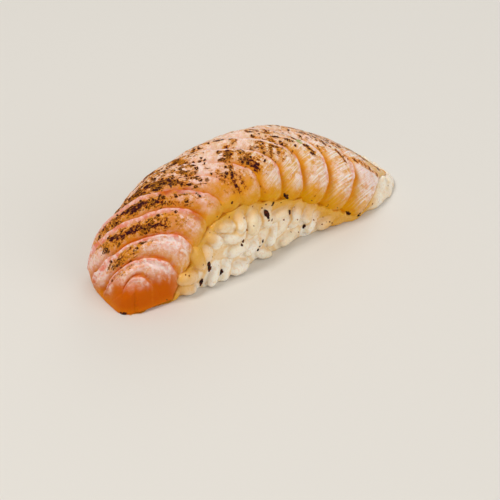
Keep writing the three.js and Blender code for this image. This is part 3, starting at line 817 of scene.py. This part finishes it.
def rice_core():
    """Pressed heap under the grains: vertices in loops and their faces."""
    angle = np.linspace(0, 180, CORE_COLUMNS + 1)
    rows = []
    for share in (1 - np.cos(np.pi * np.arange(CORE_ROWS + 1) / CORE_ROWS)) / 2:
        x = lerp(NEAR_TIP + 1, FAR_TIP - 0.6, share)
        hem, back = hems(x)
        under = curve(x, STATIONS, SLAB_THICKNESS) + 0.3
        covered = window(angle, hem + 0.5, hem + 4.5, back - 4.5, back - 0.5)
        covered = covered * smooth(x, SLAB_END + 1, SLAB_END - 1)
        beside = smooth(np.minimum(np.abs(angle - hem), np.abs(angle - back)), 9, 3)
        bed = lerp(1.7, lerp(0.3, 0.55, smooth(x, -14, -4)), beside)
        bed = lerp(bed, 0.45, smooth(x, 30, 37))
        rows.append(loaf_point(x, angle, lerp(bed, under, covered)))
    rows = np.array(rows)
    out = rows - rows.mean(1, keepdims=True) * [1, 1, 0.3]
    out = out / np.maximum(np.linalg.norm(out, axis=2, keepdims=True), 1e-6)
    rows = rows + out * (noise(rows / 2.4, 5) - 0.5)[..., None]
    rows[..., 2] = np.maximum(rows[..., 2], 0.0)
    rows[:, 0, 2] = rows[:, -1, 2] = 0.0
    ends = [np.repeat(rows[i].mean(0)[None, None], CORE_COLUMNS + 1, 1) for i in (0, -1)]
    loops = np.concatenate([ends[0], rows, ends[1]])
    return loops.reshape(-1, 3), loft_faces(len(loops), CORE_COLUMNS + 1).tolist()


def blob(rings, columns, power=2.6):
    """Blunt-ended oval of unit half-lengths along X."""
    t = -np.cos(np.pi * np.arange(1, rings) / rings)[:, None]
    girth = (1 - np.abs(t) ** power) ** 0.5
    a = 2 * np.pi * np.arange(columns) / columns
    body = np.stack([np.repeat(t, columns, 1), girth * np.cos(a), girth * np.sin(a)], -1)
    verts = np.concatenate([[[-1, 0, 0]], body.reshape(-1, 3), [[1, 0, 0]]])
    last, base = len(verts) - 1, 1 + (rings - 2) * columns
    faces = [[0, 1 + (j + 1) % columns, 1 + j] for j in range(columns)]
    faces += (loft_faces(rings - 1, columns)[:, ::-1] + 1).tolist()
    faces += [[last, base + j, base + (j + 1) % columns] for j in range(columns)]
    return verts, faces


def moved_on(faces, count):
    return [[i + count for i in face] for face in faces]


def frame_at(x, angle, depth):
    """Point on the loaf and the directions out of it, round it and along it."""
    point = loaf_point(x, angle, depth)
    out = unit(loaf_point(x, angle, 0) - loaf_point(x, angle, 2.0))
    step = 2 if angle < 90 else -2
    side = unit((loaf_point(x, angle + step, 1.0) - loaf_point(x, angle, 1.0)) * np.sign(step))
    along = unit(np.cross(side, out))
    return point, out, np.cross(out, along), along


def scatter():
    """Grains laid by dart throwing, kept apart by their spines, and each grain's whiteness."""
    t = np.linspace(-0.72, 0.72, SPINE_POINTS)[:, None]
    grains, shades, spines = [], [], np.zeros((0, 3))
    for depth, tries, gap in ((1.15, 9000, GRAIN_GAP), (1.9, 6000, GRAIN_GAP * 0.86)):
        for _ in range(tries):
            x, angle = RNG.uniform(-30.5, FAR_TIP - 1.4), RNG.uniform(0, 180)
            turn, pitch, size = RNG.uniform(0, np.pi), RNG.uniform(-0.25, 0.25), RNG.uniform(0.8, 1.1)
            sink, bend, widen = RNG.uniform(-0.3, 0.5), RNG.uniform(-1, 1, 2), RNG.uniform(0.92, 1.08)
            shade = RNG.uniform(0, 1)
            hem, back = hems(x)
            if x < SLAB_END - 0.3 and hem - 4.5 < angle < back + 4.5:
                continue
            point, out, side, along = frame_at(x, angle, depth + sink + 0.5 * smooth(x, 31, 37))
            long = unit(side * np.cos(turn) + along * np.sin(turn) + out * pitch)
            spine = point + t * GRAIN_LONG * size * long
            if len(spines) and np.min(np.linalg.norm(spines[:, None] - spine[None], axis=2)) < gap:
                continue
            if np.min(spine[:, 2]) < -0.3:
                continue
            spines = np.concatenate([spines, spine])
            grains.append((point, long, out, size, bend, widen))
            shades.append(shade)
    return grains, shades, spines


def grain_points(shape, point, long, out, size, bend, widen):
    """One grain: the blob bent sideways and upwards, and cut off at the table."""
    wide = unit(np.cross(out, long))
    deep = np.cross(long, wide)
    local = shape * [GRAIN_LONG * size, GRAIN_WIDE * size * widen, GRAIN_DEEP * size]
    arch = (shape[:, :1] ** 2 - 0.3) * [0, 0.3 * bend[0], 0.25 * bend[1]]
    verts = point + (local + arch) @ np.array([long, wide, deep])
    verts[:, 2] = np.maximum(verts[:, 2], 0.0)
    return verts


def fuse(verts, faces):
    """One skin round overlapping closed shapes, with its creases softened."""
    mesh = bpy.data.meshes.new("raw")
    mesh.from_pydata((verts * MM).tolist(), [], faces)
    obj = link(bpy.data.objects.new("raw", mesh))
    skin = obj.modifiers.new("skin", "REMESH")
    skin.mode, skin.voxel_size = "VOXEL", SKIN_VOXEL * MM
    melt = obj.modifiers.new("melt", "SMOOTH")
    melt.factor, melt.iterations = SKIN_MELT, 1
    made = bpy.data.meshes.new_from_object(obj.evaluated_get(bpy.context.evaluated_depsgraph_get()))
    points, polygons = mesh_points(made), polygons_of(made)
    bpy.data.objects.remove(obj)
    bpy.data.meshes.remove(made)
    return points, polygons


def press_far_end(points):
    """Presses the points under the thin far end of the slab down to its underside."""
    lengths, angles = np.arange(PRESSED_FROM, SLAB_END + 0.3, 0.4), np.arange(0, 181, 1.5)
    x, angle = (v.ravel() for v in np.meshgrid(lengths, angles, indexing="ij"))
    hem, back = hems(x)
    pressed = window(angle, hem - 1, hem + 2, back - 2, back + 1) * smooth(x, PRESSED_FROM, PRESSED_FROM + 3)
    skin = loaf_point(x, angle, 0)
    press = loaf_point(x, angle, curve(x, STATIONS, SLAB_THICKNESS) + 0.25) - skin
    tree = tree_of(skin)
    for i in np.flatnonzero((points[:, 0] > PRESSED_FROM) & (points[:, 0] < SLAB_END - 0.1)):
        j = tree.find(points[i])[1]
        share = (points[i] - skin[j]) @ press[j] / (press[j] @ press[j])
        points[i] += pressed[j] * max(1 - share, 0) * press[j]
    points[:, 2] = np.maximum(points[:, 2], 0)


def creases(points, spines, shades):
    """How far each point lies in a crease between grains, which gets painted shade, and the nearest grain's
    whiteness.
    """
    owner = np.repeat(np.arange(len(shades)), SPINE_POINTS)
    tree = tree_of(spines)
    crease, shade = np.ones(len(points)), np.zeros(len(points))
    for i, p in enumerate(points):
        near = tree.find_n(p, 8)
        first, reach = owner[near[0][1]], near[0][2]
        second = next((d for _, j, d in near if owner[j] != first), reach + 2)
        crease[i] = max(smooth(second - reach, 0.75, 0.0), 0.9 * smooth(reach, 1.75, 2.4))
        shade[i] = shades[first]
    return crease, shade


def edge_gap(points):
    """Distance of each point from the nearer of the slab's two long edges."""
    x = np.arange(-40, 49, 0.5)
    tree = tree_of(np.concatenate([loaf_point(x, edge, 0.8) for edge in hems(x)]))
    return np.array([tree.find(p)[2] for p in points])


def rice():
    verts, faces = rice_core()
    verts = [verts]
    shape, shape_faces = blob(12, 14)
    grains, shades, spines = scatter()
    for k, grain in enumerate(grains):
        faces += moved_on(shape_faces, len(verts[0]) + k * len(shape))
        verts.append(grain_points(shape, *grain))
    points, polygons = fuse(np.concatenate(verts), faces)
    press_far_end(points)

    crease, shade = creases(points, spines, shades)
    gap = edge_gap(points)
    x, y, z = points.T
    # The creases' painted shade fades at the far end and away from the slab's edges.
    crease = crease * (1 - 0.75 * smooth(x, 33, 38)) * lerp(1, 0.6, smooth(gap, 3, 9))
    # Juice soaks the rice along the slab's edges and fills the open side's far corner.
    reach = lerp(4.6, 2.6, smooth(x, 24, 33)) + 3.0 * smooth(x, -15, -20) + smooth(x, -2, 4)
    juice = smooth(gap + 2.4 * (noise(points / 2.2, 81) - 0.5), reach, 0.4)
    juice = np.maximum(juice, window(x, 15, 22, 27, 31) * (y < 0)) * (1 - 0.85 * smooth(x, 33, 38))
    # The grains at the far end and low on the near half are white.
    white = np.maximum(0.8 * smooth(x, 34, 38), 0.9 * smooth(z, 11, 6) * smooth(x, 4, -4))
    obj = new_mesh("rice_grains", points - CENTRE, polygons, rice_material(),
                   {"crease": crease, "shade": np.maximum(shade, white), "juice": np.clip(juice, 0, 1)})
    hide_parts("rice")
    return obj


def rice_material():
    n = Nodes("sushi_rice")
    place = n.place()
    cloud = n.noise(place, 520, 4.0)
    colour = n.mix(n.attribute("shade"), rgba((242, 218, 174)), rgba((255, 246, 232)))
    colour = n.layers(colour, [
        (n.ramp(cloud, 0.54, 0.66, 0, 0.55), (240, 206, 146)),
        (n.ramp(n.noise(place, 1700), 0.54, 0.62, 0, 0.45), (240, 200, 160)),
        # Painted warm shade in the creases between grains.
        (n.times(n.attribute("crease"), 0.85), (232, 176, 60)),
        (n.times(n.attribute("juice"), 0.9), (228, 164, 4))])
    n.shade({"Base Color": colour, "Roughness": n.ramp(cloud, 0.35, 0.65, 0.24, 0.42),
             "Specular IOR Level": 0.3, "Coat Weight": 0.35, "Coat Roughness": 0.14,
             "Subsurface Weight": 0.3, "Subsurface Radius": (1.0, 0.85, 0.55), "Subsurface Scale": 0.8 * MM,
             "Normal": n.bump(n.noise(place, 1500), 0.5, 0.2)})
    return n.material


# ---------------- crumbs and herbs
# Charred crumbs seen in the photograph: pixel, half-length and half-width in mm, turn in degrees.
CRUMBS = [
    (267, 214, 0.95, 0.5, 95), (290, 212, 0.8, 0.5, 120), (304, 226, 0.65, 0.5, 30),
    (348, 214, 0.85, 0.6, 100), (286, 196, 0.7, 0.45, 110), (273, 204, 0.5, 0.3, 20),
    (243, 241, 0.35, 0.28, 60), (242, 245, 0.32, 0.22, 100), (263, 241, 0.4, 0.22, 70),
    (260, 246, 0.4, 0.2, 60), (258, 250, 0.3, 0.2, 60), (209, 265, 0.95, 0.42, 75),
    (210, 269, 0.5, 0.4, 40), (201, 282, 0.9, 0.55, 60), (220, 273, 0.8, 0.5, 20), (222, 271, 0.4, 0.3, 90),
    (272, 220, 0.28, 0.2, 30), (247, 230, 0.22, 0.18, 0), (262, 208, 0.2, 0.16, 0),
    (359, 215, 0.45, 0.25, 10), (232, 203, 0.3, 0.2, 50), (221, 205, 0.22, 0.18, 0),
    (244, 218, 0.18, 0.15, 0), (315, 196, 0.2, 0.14, 40), (124, 314, 0.6, 0.35, 20),
    (121, 313, 0.3, 0.2, 80)]
# Green herb flecks, in the same terms.
HERBS = [(298, 141, 0.75, 0.4, 150), (301, 143, 0.5, 0.3, 120)]
# Larger crumbs on the hidden side: length and angle on the loaf.
BACK_CRUMBS = [(-14, 168), (2, 172), (12, 166), (24, 170), (-4, 160), (33, 168)]
DUST = 70
# A chip's bits: place along and across it and scale, as shares of its size.
CHIP_BITS = [(0.0, 0.0, 0.72), (0.52, 0.3, 0.5), (-0.55, -0.25, 0.52), (0.1, 0.62, 0.42), (-0.15, -0.6, 0.4)]
SMALL_CHIP, DUST_CHIP = 0.38, 0.3


def photo_ray(px, py):
    """Where the line of sight through a pixel of the photograph starts, and its direction."""
    place, aim = view_frame()
    ahead = unit(aim - place)
    right = unit(np.cross(ahead, [0, 0, 1]))
    up = np.cross(right, ahead)
    return place, ahead + right * (px - PHOTO_SIZE / 2) / FOCAL + up * (PHOTO_SIZE / 2 - py) / FOCAL


def chip(place, normal, long, half_long, half_wide, seed):
    """One ragged flat chip, bedded in the surface: small bits grown together."""
    shape, shape_faces = blob(7, 9, 2.2)
    wide = np.cross(normal, long)
    bits = [(0.0, 0.0, 1.0)] if half_long < SMALL_CHIP else CHIP_BITS
    verts, faces = [], []
    for k, (along, aside, scale) in enumerate(bits):
        rough = 0.55 + 0.9 * noise(shape * 2.1 + seed * 3.1 + 7 * k, seed)[:, None]
        shift = 0.3 * (noise(np.array([[seed, k, 0.5], [k, seed, 9.5]]) * 1.37, 5) - 0.5)
        local = shape * rough * scale + [along + shift[0], aside + shift[1], 0]
        local = local * [1.3 * half_long, 1.35 * half_wide, 0.5 * half_wide]
        faces += moved_on(shape_faces, len(shape) * k)
        verts.append(place + local @ np.array([long, wide, normal]))
    return np.concatenate(verts), faces


def land(trees, origin, direction):
    """Where a ray first meets the pieces, and the surface's normal there, or None."""
    hits = [tree.ray_cast(Vector(origin), Vector(direction).normalized()) for tree in trees]
    hits = [hit for hit in hits if hit[0] is not None]
    if not hits:
        return None
    place, normal = (np.array(v) for v in min(hits, key=lambda hit: hit[3])[:2])
    return place, normal if normal @ np.array(direction) <= 0 else -normal


def chips(name, material, marks, scattered, hosts):
    """One piece of all the chips that land on the hosts: marks from the photo, then scattered rays."""
    trees = [BVHTree.FromPolygons(mesh_points(host.data).tolist(), polygons_of(host.data)) for host in hosts]
    spots = [(*photo_ray(px, py), long, wide, turn) for px, py, long, wide, turn in marks] + scattered
    verts, faces, toast, count = [], [], [], 0
    for seed, (origin, direction, half_long, half_wide, turn) in enumerate(spots, 1):
        landed = land(trees, origin, direction)
        if landed is None:
            continue
        place, normal = landed
        level = np.cross([0, 0, 1.0], normal)
        level = unit(level) if np.linalg.norm(level) > 0.1 else np.array([1.0, 0, 0])
        long = level * np.cos(np.radians(turn)) + np.cross(normal, level) * np.sin(np.radians(turn))
        new, new_faces = chip(place - 0.1 * half_wide * normal, normal, long, half_long, half_wide, seed)
        new[:, 2] = np.maximum(new[:, 2], 0.0)
        verts.append(new)
        faces += moved_on(new_faces, count)
        toast += [float(half_long < DUST_CHIP)] * len(new)
        count += len(new)
    obj = new_mesh(name, np.concatenate(verts), faces, material, {"toast": toast})
    return obj


def ray_down(x, angle):
    """A ray that meets the loaf squarely from 6 mm outside it."""
    out = frame_at(x, angle, 0)[1]
    return loaf_point(x, angle, 0) - CENTRE + 6 * out, -out


def dust(amount):
    """Seeded rays that drop fine crumbs over both sides of the piece."""
    rays = []
    for _ in range(amount):
        x, share = RNG.uniform(-28, 44), RNG.uniform(0, 1) ** 0.8
        hem, back = hems(x)
        angle = lerp(2, hem + 3, share) if RNG.uniform() < 0.6 else lerp(178, back - 3, share)
        size = RNG.uniform(0.1, 0.24)
        rays.append((*ray_down(x, angle), size, size * RNG.uniform(0.5, 0.9), RNG.uniform(0, 180)))
    for x, angle in BACK_CRUMBS:
        rays.append((*ray_down(x, angle), RNG.uniform(0.5, 0.9), 0.45, RNG.uniform(0, 180)))
    return rays


def crumb_material():
    n = Nodes("charred_crumb")
    place = n.place()
    mottled = n.ramp(n.noise(place, 1400), 0.42, 0.62)
    char = n.mix(mottled, rgba((30, 9, 4)), rgba((92, 36, 8)))
    toast = n.mix(mottled, rgba((96, 42, 8)), rgba((168, 96, 20)))
    n.shade({"Base Color": n.mix(n.attribute("toast"), char, toast),
             "Roughness": n.ramp(mottled, 0, 1, 0.5, 0.75), "Specular IOR Level": 0.15,
             "Normal": n.bump(n.noise(place, 2500), 0.5, 0.2)})
    return n.material


def herb_material():
    n = Nodes("chopped_herb")
    place = n.place()
    mottled = n.ramp(n.noise(place, 1800), 0.4, 0.62)
    n.shade({"Base Color": n.mix(mottled, rgba((164, 162, 88)), rgba((200, 196, 132))), "Roughness": 0.5,
             "Subsurface Weight": 0.2, "Subsurface Scale": 0.5 * MM,
             "Normal": n.bump(n.noise(place, 3000, 2.0), 0.4, 0.1)})
    return n.material


# ---------------- camera, light, floor
# The photo's size and the camera's focal length in pixels, its distance in mm and its angles.
PHOTO_SIZE, FOCAL, DISTANCE = 500, 2000, 500
AZIMUTH, ELEVATION = np.radians(-40.0), np.radians(32.5)
# The point looked at lies over the loaf's middle, then aside and down in the picture.
AIM_HEIGHT, AIM_RIGHT, AIM_DOWN = 10.0, 2.5, 11.0
SENSOR = 36
# Half the floor's side in metres, and how far it lies under the piece in mm.
FLOOR_HALF, FLOOR_DROP = 3, 0.05


def view_frame():
    """Where the camera stands and the point that it looks at, in mm."""
    back = np.array([np.sin(AZIMUTH) * np.cos(ELEVATION), -np.cos(AZIMUTH) * np.cos(ELEVATION),
                     np.sin(ELEVATION)])
    right = np.array([np.cos(AZIMUTH), np.sin(AZIMUTH), 0])
    up = np.cross(back, right)
    place = np.array([0, 0, AIM_HEIGHT]) - CENTRE + DISTANCE * back
    return place, place - DISTANCE * back + right * AIM_RIGHT - up * AIM_DOWN


def aim_along(obj, place, direction):
    obj.location = Vector(place)
    obj.rotation_mode = "QUATERNION"
    obj.rotation_quaternion = Vector(direction).to_track_quat("-Z", "Y")
    return link(obj)


def camera():
    place, aim = view_frame()
    data = bpy.data.cameras.new("camera")
    data.lens, data.sensor_width = SENSOR * FOCAL / PHOTO_SIZE, SENSOR
    data.clip_start, data.clip_end = 0.01, 20
    bpy.context.scene.camera = aim_along(bpy.data.objects.new("camera", data), place * MM, aim - place)


def area_light(name, place, size, power, colour):
    data = bpy.data.lights.new(name, "AREA")
    data.shape, data.size, data.energy, data.color = "DISK", size, power, colour
    aim_along(bpy.data.objects.new(name, data), place, -Vector(place))


def studio():
    area_light("key", (-0.45, 0.12, 0.88), 0.28, 4.4, (1.0, 0.98, 0.96))
    area_light("fill", (0.2, -0.9, 0.5), 0.9, 3.0, (1.0, 0.99, 0.98))
    area_light("rim", (0.7, 0.5, 0.5), 0.5, 1.0, (1, 1, 1))
    world = bpy.data.worlds.new("studio")
    world.use_nodes = True
    background = world.node_tree.nodes["Background"]
    background.inputs["Color"].default_value = (1.0, 0.99, 0.975, 1)
    background.inputs["Strength"].default_value = 0.45
    bpy.context.scene.world = world
    bpy.context.scene.view_settings.view_transform = "Standard"
    mesh = bpy.data.meshes.new("floor")
    corners = [(x * FLOOR_HALF, y * FLOOR_HALF, 0) for x, y in ((-1, -1), (1, -1), (1, 1), (-1, 1))]
    mesh.from_pydata(corners, [], [(0, 1, 2, 3)])
    n = Nodes("pale_floor")
    n.shade({"Base Color": rgba((226, 222, 214)), "Roughness": 0.6})
    mesh.materials.append(n.material)
    floor = link(bpy.data.objects.new("floor", mesh))
    floor.location.z = -FLOOR_DROP * MM


camera()
studio()
slab = salmon()
heap = rice()
crumbs = chips("char_crumbs", crumb_material(), CRUMBS, dust(DUST), (slab, heap))
herbs = chips("herb_flecks", herb_material(), HERBS, [], (slab,))
for piece in (slab, heap, crumbs, herbs):
    print(piece.name, "triangles", sum(len(p.vertices) - 2 for p in piece.data.polygons))
